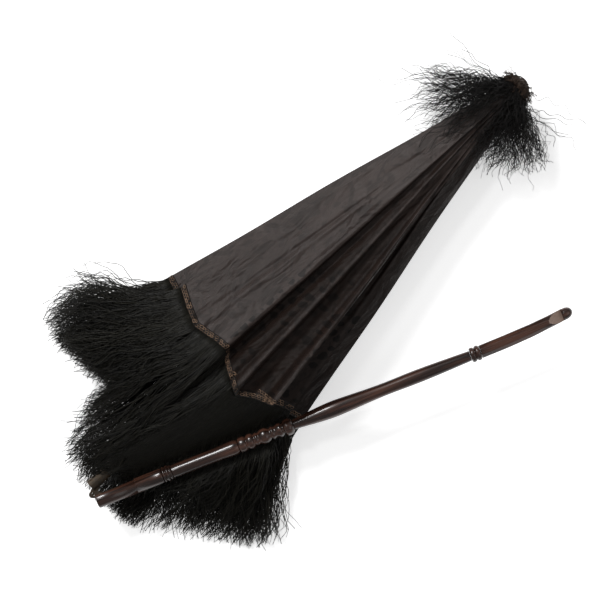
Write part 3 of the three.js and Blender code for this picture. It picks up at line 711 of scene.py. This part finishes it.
def build_threads(half):
    paths, u = hem_threads(half)
    count, steps, _ = paths.shape
    radius = THREAD_RADIUS * rng.uniform(0.75, 1.2, (count, 1)) * np.linspace(1.0, 0.55, steps)[None]
    points, faces = tubes(paths, radius)
    tuft = np.interp(u * 11, np.arange(12), rng.uniform(0, 0.35, 12))
    shade = np.repeat(np.clip(rng.normal(0.14, 0.30, count) + tuft, 0, 1), steps * 3)
    piece = make_mesh(f"hem_fringe_{half.name[5:]}", points, faces, FRINGE, shade=shade)
    half.join(piece)
    return piece


# ---------------------------------------------------------------- looped braid along the hem
BRAID_WIDTH = 4.0
LOOP_PITCH = 1.9
LOOP_STEPS = 13
# Across the band, as (share of its width, height above the silk): thick edges and a hollow middle.
BRAID_ROWS = ((-0.04, 0.05), (0.08, 0.5), (0.5, 0.32), (0.92, 0.5), (1.04, 0.05))


def build_braid(half):
    """A flat band with two rows of round gimp loops, following the scalloped hem."""
    samples = 60
    u = np.linspace(0, 1, samples)
    hem = half.hem_fraction(u)
    row = [half.surface(u, hem - k * BRAID_WIDTH / RIB_CHORD) for k in (0.0, 0.5, 1.0)]
    outward = unit(np.cross(np.gradient(row[1], axis=0), row[0] - row[2]))
    outward *= np.sign((outward @ half.normal).mean()) or 1.0
    band_rows = []
    for fraction, lift in BRAID_ROWS:
        line = half.surface(u, hem - fraction * BRAID_WIDTH / RIB_CHORD)
        band_rows.append(line + outward * lift)
    band = np.stack(band_rows, axis=0)
    length = np.linalg.norm(np.diff(row[1], axis=0), axis=-1)
    total = length.sum()
    along = np.concatenate([[0], np.cumsum(length)]) / total
    count = max(int(total / LOOP_PITCH), 3)
    paths = []
    for line_number, place in enumerate((0.33, 0.66)):
        middle_u = (np.arange(count) + 0.5 + 0.5 * line_number * 0.9) / (count + 0.5)
        for number, m in enumerate(middle_u):
            angle = np.linspace(0, 2 * math.pi * 0.94, LOOP_STEPS) + rng.uniform(-0.5, 0.5)
            size_u = LOOP_PITCH * 0.62 / total * rng.uniform(0.85, 1.1)
            size_v = BRAID_WIDTH * 0.20 * rng.uniform(0.7, 1.15)
            at_u = np.interp(np.clip(m + size_u * np.cos(angle), 0, 1), along, u)
            at_v = place * BRAID_WIDTH + size_v * np.sin(angle)
            point = half.surface(at_u, half.hem_fraction(at_u) - at_v / RIB_CHORD)
            paths.append(point + half.normal * (0.75 + 0.18 * np.sin(angle + number))[:, None])
    paths = np.array(paths)
    radius = np.full(paths.shape[:2], 0.19) * rng.uniform(0.8, 1.15, (len(paths), 1))
    loop_points, loop_faces = tubes(paths, radius, 4)
    shades = np.clip(rng.normal(0.42, 0.36, len(paths)), 0.02, 1)
    shade = np.concatenate([np.zeros(band.size // 3), np.repeat(shades, LOOP_STEPS * 4)])
    shift = band.size // 3
    faces = grid_faces(len(BRAID_ROWS), samples).tolist()
    faces += [[corner + shift for corner in face] for face in loop_faces]
    points = np.concatenate([band.reshape(-1, 3), loop_points])
    piece = make_mesh(f"gimp_braid_{half.name[5:]}", points, faces, GIMP, shade=shade)
    half.join(piece)
    return piece


for half in HALVES:
    half.build()
    half.braid = build_braid(half)
    half.fringe = build_threads(half)


# ---------------------------------------------------------------- top fringe and rosette
TOP_STEPS = 24
TOP_RADIUS = 0.25
TOP_COUNTS = (100, 108, 92, 68, 68, 72, 76, 88)


def crimped(root, first, second, end, size):
    """Wavy thread paths through four rows of points."""
    count = len(root)
    s = np.linspace(0, 1, TOP_STEPS)[None, :, None]
    r, a, b, e = root[:, None], first[:, None], second[:, None], end[:, None]
    paths = r * (1 - s) ** 3 + 3 * a * s * (1 - s) ** 2 + 3 * b * s ** 2 * (1 - s) + e * s ** 3
    t = s[..., 0]
    flow = unit(end - root)
    side = unit(np.cross(flow, rng.normal(size=(count, 3))))[:, None]
    other = np.cross(flow[:, None], side)
    p, q = rng.uniform(0, TURN, (count, 1)), rng.uniform(0, TURN, (count, 1))
    k = rng.uniform(16, 30, (count, 1))
    grow = np.clip(t * 3, 0, 1)
    kink = np.abs((t * k / 3 + p) % 2 - 1) - 0.5
    paths = paths + side * (size * np.sin(t * k + p) * grow)[..., None]
    paths = paths + other * (size * (0.5 * np.sin(t * k * 0.7 + q) + 1.5 * kink) * grow)[..., None]
    return paths


def top_threads(rib, count):
    """Threads rooted round the rosette that fall to the parasol's left or right."""
    angle = azimuth(rib) + rng.uniform(-0.5, 0.5, count) * 45 * DEGREE
    root_x = rng.uniform(7.5, 12.5, count)
    ring = rng.uniform(7.5, 9.0, count)
    root = np.stack([root_x, ring * np.cos(angle), ring * np.sin(angle)], axis=-1)
    right = np.cos(angle) > 0
    top_side = np.sin(angle) > 0
    swing = np.where(right, rng.uniform(2, 76, count), -rng.uniform(4, 60, count)) * DEGREE
    swing = np.where(rng.uniform(size=count) < 0.05, swing * 1.5, swing)
    length = np.where(right, rng.normal(43, 5, count), rng.normal(50, 7, count))
    length = np.where(rng.uniform(size=count) < 0.04, length * 1.22, length)
    reach = np.stack([np.cos(swing), np.sin(swing)], axis=-1) * length[:, None]
    height = np.where(top_side, rng.uniform(-14, 9, count), rng.uniform(-25, -8, count))
    over_cloth = np.where(top_side, rng.uniform(9, 17, count), -22)
    height = np.where(np.abs(swing) < 30 * DEGREE, over_cloth, height)
    end = np.stack([root_x + reach[:, 0], root[:, 1] * 0.4 + reach[:, 1], height], axis=-1)
    outward = np.stack([np.full(count, 0.35), np.cos(angle), np.sin(angle)], axis=-1)
    first = root + unit(outward) * rng.uniform(5, 11, (count, 1)) + np.array([4.0, 0, 0])
    second = root * 0.35 + end * 0.65 + np.array([0, 0, 2.0])
    second = second + rng.normal(size=(count, 3)) * (6.5, 6.5, 3.0)
    paths = crimped(root, first, second, end, rng.uniform(0.9, 2.6, (count, 1)))
    x, y, z = paths[..., 0], paths[..., 1], paths[..., 2]
    # stay off the silk: the cover's half width and height at this x
    cover = 8.0 + np.clip(x - NOTCH_X, 0, 60) * 0.13
    inside = cover ** 2 - (y ** 2 + z ** 2)
    push = np.where(inside > 0, cover / np.maximum(np.sqrt(y ** 2 + z ** 2), 1.0), 1.0)
    push = 1 + (push - 1) * (x > 11)
    paths[..., 1], paths[..., 2] = y * np.minimum(push, 3), z * np.minimum(push, 3)
    paths[..., 2] = np.maximum(paths[..., 2], FLOOR_Z + 0.4)
    return paths


def build_top_fringe():
    for rib in range(8):
        count = TOP_COUNTS[rib]
        paths = top_threads(rib, count)
        radius = TOP_RADIUS * rng.uniform(0.75, 1.2, (count, 1)) * np.linspace(1, 0.6, TOP_STEPS)[None]
        points, faces = tubes(paths, radius)
        shade = np.repeat(np.clip(rng.normal(0.15, 0.25, count), 0, 1), TOP_STEPS * 3)
        piece = make_mesh(f"top_fringe_sector_{rib + 1}", points, faces, TOP_FRINGE, shade=shade)
        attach(piece, f"rib_{rib + 1}")
        if rib == 0:
            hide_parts("top_fringe_right")
        if rib == 4:
            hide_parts("top_fringe_left")


def build_rosette():
    """Frayed pinked silk gathered round the tip, with short worn threads."""
    around, rings = 96, 9
    points = []
    for ring in range(rings):
        t = ring / (rings - 1)
        x = 1.8 + 8.2 * t
        base = 5.2 + 3.6 * math.sin(math.pi * min(t * 1.05, 1))
        for k in range(around):
            a = 2 * math.pi * k / around
            ruffle = 0.55 * math.sin(13 * a + 2.0 * t) + 0.35 * math.sin(29 * a + 5 * t)
            r = base + ruffle * (0.4 + t)
            points.append((x + 0.5 * math.sin(7 * a), r * math.cos(a), r * math.sin(a)))
    faces = ring_faces(rings, around)
    body = make_mesh("rosette_cloth", points, faces, ROSETTE, shade=rng.uniform(0, 0.5, len(points)))
    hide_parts("silk_rosette")
    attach(body, "stick")
    count = 240
    angle = rng.uniform(0, 2 * math.pi, count)
    root_x = rng.uniform(2, 9, count)
    root = np.stack([root_x, 7.4 * np.cos(angle), 7.4 * np.sin(angle)], axis=-1)
    out = unit(np.stack([rng.uniform(-0.9, 1.2, count), np.cos(angle), np.sin(angle)], axis=-1))
    length = rng.uniform(2.5, 7, (count, 1))
    end = root + out * length + np.array([1.5, 0, 0])
    paths = crimped(root, root + out * length * 0.4, root + out * length * 0.8, end, 0.45)
    points, faces = tubes(paths, np.full(paths.shape[:2], 0.16))
    shade = np.repeat(rng.uniform(0.1, 1, count), TOP_STEPS * 3)
    frayed = make_mesh("rosette_frayed_threads", points, faces, ROSETTE, shade=shade)
    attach(frayed, "stick")


build_top_fringe()
build_rosette()


# ---------------------------------------------------------------- turned wood
def rounded(profile, times=2):
    """Cuts the corners of a profile so that beads and hollows are round."""
    line = [np.array(p, float) for p in profile]
    for _ in range(times):
        cut = [line[0]]
        for a, b in zip(line[:-1], line[1:]):
            cut += [a * 0.75 + b * 0.25, a * 0.25 + b * 0.75]
        line = cut + [line[-1]]
    return line


def place(points, on_handle):
    """Points as [along, side, up], in the stick's frame or the folded handle's."""
    points = np.asarray(points, float)
    if not on_handle:
        return points
    up = np.array([0, 0, 1.0])
    return HANDLE_ORIGIN + points[:, :1] * HANDLE_AXIS + points[:, 1:2] * HANDLE_SIDE + points[:, 2:] * up


def turned(name, profile, node, body, material, on_handle, times=2, around=56):
    line = rounded(profile, times)
    points = [(line[0][0], 0, 0)]
    for x, r in line:
        points += [(x, r * math.cos(2 * math.pi * k / around), r * math.sin(2 * math.pi * k / around))
                   for k in range(around)]
    points.append((line[-1][0], 0, 0))
    faces = [[0, 1 + (k + 1) % around, 1 + k] for k in range(around)]
    faces += ring_faces(len(line), around, 1)
    last, end = 1 + (len(line) - 1) * around, len(points) - 1
    faces += [[last + k, last + (k + 1) % around, end] for k in range(around)]
    piece = make_mesh(name, place(points, on_handle), faces, material)
    for polygon in piece.data.polygons:
        if len(polygon.vertices) == 3:
            polygon.use_smooth = False
    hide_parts(node)
    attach(piece, body)
    return piece


HANDLE_PROFILES = {
    "handle_core": [(17.0, 3.95), (44.7, 3.95)],
    "ring_collar": [(45, 4.0), (45, 4.9), (46.1, 5.0), (46.6, 4.1), (47.5, 5.1), (48.5, 5.1), (49, 4.1),
                    (49.9, 4.7), (50.7, 4.0)],
    "handle_barrel": [
        (51, 4), (54.5, 4.25), (66.5, 4.1), (78.5, 4.15), (88.5, 4.6), (92.5, 4.8), (94.7, 4.1)],
    "turned_beads": [
        (95, 3.8), (95.8, 5), (99.5, 5), (100.2, 3.6), (101.5, 5), (104.5, 5), (105.3, 3.4),
        (107, 4.5), (108.5, 3.4), (110, 4.8), (113, 5.2), (115, 4.2), (116, 3.4), (117.5, 4.5), (119, 3.4),
        (121, 4.3), (123, 4.7), (124.5, 3.3), (126, 5.4), (129.5, 5.4), (131.2, 3.5)],
    "handle_spindle": [
        (131.5, 3.2), (136, 3.5), (148, 4.7), (158, 5.3), (168, 4.9), (184, 4.1), (196, 3.9),
        (212, 4.3), (230, 3.9), (248.9, 3.2)],
    "double_ring": [
        (249.2, 3.2), (249.6, 4.7), (251.7, 4.8), (252.5, 3.5), (253.1, 4.8), (255, 4.8), (255.7, 3.8)],
}


def build_turnings():
    for name, profile in HANDLE_PROFILES.items():
        turned(f"polished_{name}", profile, name, "handle", HANDLE_WOOD, True)
    tip = [(0, 2.5), (0.6, 3.1), (5, 3.6), (9, 4.4), (13, 4.4), (14.7, 3.8)]
    turned("polished_tip", tip, "tip_ferrule", "stick", STICK_WOOD, False)
    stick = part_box("upper_stick")
    rod = [(stick[0].x / MM, 4), (stick[1].x / MM, 4)]
    turned("polished_stick", rod, "upper_stick", "stick", STICK_WOOD, False, 1)


SLEEVE_START, SLEEVE_SLOT_END, SLEEVE_END = 1.0, 27.0, 44.5
SLEEVE_BORE, SLEEVE_RADIUS, SLEEVE_SLOT_HALF = 4.25, 4.75, 3.0


def build_sleeve():
    """A thin wooden tube; its slot faces the handle's own side, towards the knuckle."""
    gap = math.asin(SLEEVE_SLOT_HALF / SLEEVE_RADIUS)
    points, faces = [], []

    def shell(stations, low, high, around):
        closed = high - low > 2 * math.pi - 1e-6
        ring = around if closed else around + 1
        for layer, (x, outer, inner) in enumerate(stations):
            for radius in (outer, inner):
                for k in range(ring):
                    a = low + (high - low) * k / around
                    points.append((x, radius * math.cos(a), radius * math.sin(a)))
        base = len(points) - len(stations) * 2 * ring

        def at(layer, inside, k):
            return base + (layer * 2 + inside) * ring + k % ring

        for layer in range(len(stations) - 1):
            for k in range(around):
                outer = [at(layer, 0, k), at(layer, 0, k + 1), at(layer + 1, 0, k + 1), at(layer + 1, 0, k)]
                inner = [at(layer, 1, k + 1), at(layer, 1, k), at(layer + 1, 1, k), at(layer + 1, 1, k + 1)]
                faces.extend([outer, inner])
            if not closed:
                faces.append([at(layer, 0, 0), at(layer + 1, 0, 0), at(layer + 1, 1, 0), at(layer, 1, 0)])
                faces.append([at(layer, 0, around), at(layer, 1, around), at(layer + 1, 1, around),
                              at(layer + 1, 0, around)])
        for layer, flip in ((0, False), (len(stations) - 1, True)):
            for k in range(around):
                face = [at(layer, 0, k), at(layer, 1, k), at(layer, 1, k + 1), at(layer, 0, k + 1)]
                faces.append(face[::-1] if flip else face)

    r, b = SLEEVE_RADIUS, SLEEVE_BORE
    shell([(SLEEVE_START, r - 0.35, b), (SLEEVE_START + 0.25, r - 0.08, b), (SLEEVE_START + 0.8, r, b),
           (SLEEVE_SLOT_END, r, b)], gap, 2 * math.pi - gap, 56)
    shell([(SLEEVE_SLOT_END, r, b), (SLEEVE_END - 1.2, r, b), (SLEEVE_END - 0.3, r - 0.1, b),
           (SLEEVE_END, r - 0.3, b)], 0, 2 * math.pi, 64)
    piece = make_mesh("polished_lock_sleeve", place(points, True), faces, HANDLE_WOOD)
    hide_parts("lock_sleeve")
    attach(piece, "lock_sleeve")


GRIP_PATH = [(256.0, 0.0), (273, 0.3), (290, 1.0), (304, 2.2), (312, 3.0), (318, 3.4)]
CUT_START, CUT_END, CUT_DEPTH = 301.5, 311.5, 4.6


def build_grip():
    """The carved grip: eight flats that fade out, a slanting cut near the end and a round nose."""
    around, stations = 64, 110
    first, last = 256.0, 318.0
    path_x, path_y = zip(*GRIP_PATH)
    points, pale = [], []
    for number in range(stations):
        t = number / (stations - 1)
        x = first + (last - first) * t ** 0.97
        middle = np.interp(x, path_x, path_y)
        nose = max(0.0, (x - 313.5) / (last - 313.5 + 0.05))
        radius = 4.2 - 0.55 * t + 0.2 * math.sin(math.pi * min(1, (x - first) / 50))
        radius *= math.sqrt(max(0.0, 1 - nose ** 2))
        facet = 1 - smoothstep((x - 296) / 10)
        cut = CUT_DEPTH * (x - CUT_START) / (CUT_END - CUT_START)
        in_cut = CUT_START < x < CUT_END + 0.4
        for k in range(around):
            a = 2 * math.pi * k / around
            wedge = (a + math.pi / 8) % (math.pi / 4) - math.pi / 8
            flat = math.cos(math.pi / 8) / math.cos(wedge) * 1.03
            r = radius * (1 + (flat - 1) * facet)
            side, up = r * math.cos(a), r * math.sin(a)
            level = radius - cut if in_cut else radius * 2
            pale.append(in_cut and up > level)
            points.append((x, middle + side, min(up, level)))
    faces = ring_faces(stations, around)
    faces.append(list(reversed(range(around))))
    faces.append([(stations - 1) * around + k for k in range(around)])
    piece = make_mesh("carved_grip_end", place(points, True), faces, HANDLE_WOOD)
    piece.data.materials.append(BARE_WOOD)
    for polygon in piece.data.polygons:
        if len(polygon.vertices) == 4 and all(pale[v] for v in polygon.vertices):
            polygon.material_index = 1
            polygon.use_smooth = False
    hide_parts("grip_end")
    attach(piece, "handle")


build_turnings()
build_sleeve()
build_grip()


# ---------------------------------------------------------------- ribs
def build_ribs():
    """Steel ribs with a brass cap at the hem end."""
    for rib in range(8):
        fractions = np.linspace(0, 1, 40)
        path = rib_point(rib, fractions, 0.0)[None]
        radius = np.full((1, 40), 0.85)
        radius[0, -3:] = 1.15
        points, faces = tubes(path, radius, 12)
        piece = make_mesh(f"steel_rib_{rib + 1}", points, faces, STEEL)
        piece.data.materials.append(BRASS)
        for polygon in piece.data.polygons:
            if polygon.center.x / MM > 252:
                polygon.material_index = 1
        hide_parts(f"rib_{rib + 1}")
        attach(piece, f"rib_{rib + 1}")


build_ribs()

CAD_MATERIALS = {
    "top_notch": BRASS, "runner": BRASS, "upper_spring_catch": BRASS, "lower_spring_catch": BRASS,
    "stick_hinge": TARNISHED, "handle_hinge": TARNISHED, "hinge_pin": TARNISHED,
    **{f"stretcher_{rib + 1}": STEEL for rib in range(8)},
}
for node, material in CAD_MATERIALS.items():
    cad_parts[node].data.materials.clear()
    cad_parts[node].data.materials.append(material)

bpy.context.view_layer.update()
